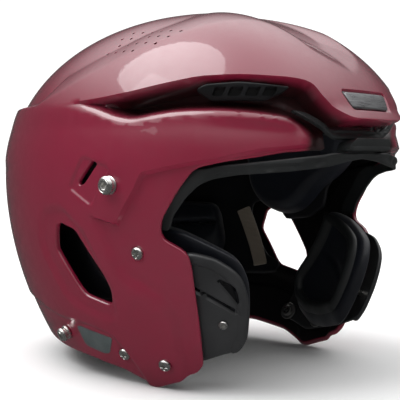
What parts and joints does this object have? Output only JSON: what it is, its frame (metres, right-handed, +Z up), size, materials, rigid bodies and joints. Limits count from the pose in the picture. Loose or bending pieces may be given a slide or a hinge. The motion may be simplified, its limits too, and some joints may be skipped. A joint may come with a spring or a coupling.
{
  "type": "football helmet shell with liner",
  "caption": "Hard maroon sports helmet without its face guard: moulded outer shell, inner shell, pads, removable jaw pads and chin-strap studs.",
  "frame": {"origin": "centre of the helmet's footprint, at the height of the jaw tips, which it rests on", "axes": "front of the helmet faces -Y, +Z is up, the wearer's left is +X"},
  "size_m": [0.2532, 0.3082, 0.2431],
  "materials": {
    "shell_paint": "glossy maroon moulded shell",
    "liner_plastic": "black moulded inner shell",
    "core_columns": "soft black columns",
    "pad_cover": "black cloth over foam",
    "dark_plastic": "dark moulded plastic",
    "grey_trim": "dark grey soft trim",
    "stud_steel": "bright steel",
    "nut_steel": "plain steel",
    "nameplate_gloss": "glossy blank badge",
    "decal_vinyl": "blank grey sticker",
    "woven_label": "blank woven label"
  },
  "bodies": {
    "helmet": {"arch_shell": "liner_plastic", "brow_insert": "grey_trim", "brow_lip": "grey_trim", "core_crown": "core_columns", "core_left": "core_columns", "core_rear": "core_columns", "core_right": "core_columns", "decal_left": "decal_vinyl", "decal_right": "decal_vinyl", "inner_label": "woven_label", "jaw_nut_front_left": "nut_steel", "jaw_nut_front_right": "nut_steel", "jaw_nut_rear_left": "nut_steel", "jaw_nut_rear_right": "nut_steel", "jaw_plate_left": "dark_plastic", "jaw_plate_right": "dark_plastic", "jaw_screw_front_left": "stud_steel", "jaw_screw_front_right": "stud_steel", "jaw_screw_rear_left": "stud_steel", "jaw_screw_rear_right": "stud_steel", "jaw_snap_front_left": "stud_steel", "jaw_snap_front_right": "stud_steel", "jaw_snap_rear_left": "stud_steel", "jaw_snap_rear_right": "stud_steel", "liner_edge_band": "grey_trim", "lower_nut_left": "nut_steel", "lower_nut_right": "nut_steel", "lower_stud_left": "stud_steel", "lower_stud_right": "stud_steel", "nameplate": "nameplate_gloss", "outer_shell": "shell_paint", "pad_crown": "pad_cover", "pad_front": "pad_cover", "pad_nape_left": "pad_cover", "pad_nape_right": "pad_cover", "pad_rear": "pad_cover", "pad_temple_left": "pad_cover", "pad_temple_right": "pad_cover", "side_nut_left": "nut_steel", "side_nut_right": "nut_steel", "side_screw_left": "stud_steel", "side_screw_right": "stud_steel", "upper_nut_left": "nut_steel", "upper_nut_right": "nut_steel", "upper_stud_left": "stud_steel", "upper_stud_right": "stud_steel", "vent_grille_left": "grey_trim", "vent_grille_right": "grey_trim"},
    "jaw_pad_left": {"jaw_pad_left": "pad_cover", "jaw_rim_left": "grey_trim"},
    "jaw_pad_right": {"jaw_pad_right": "pad_cover", "jaw_rim_right": "grey_trim"}
  },
  "joints": [
    {"name": "jaw_pad_left_pull", "type": "slide", "parent": "helmet", "child": "jaw_pad_left", "axis": [-0.8817, 0.3468, 0.3199], "range_m": [0, 0.02]},
    {"name": "jaw_pad_right_pull", "type": "slide", "parent": "helmet", "child": "jaw_pad_right", "axis": [0.8817, 0.3468, 0.3199], "range_m": [0, 0.02]}
  ]
}
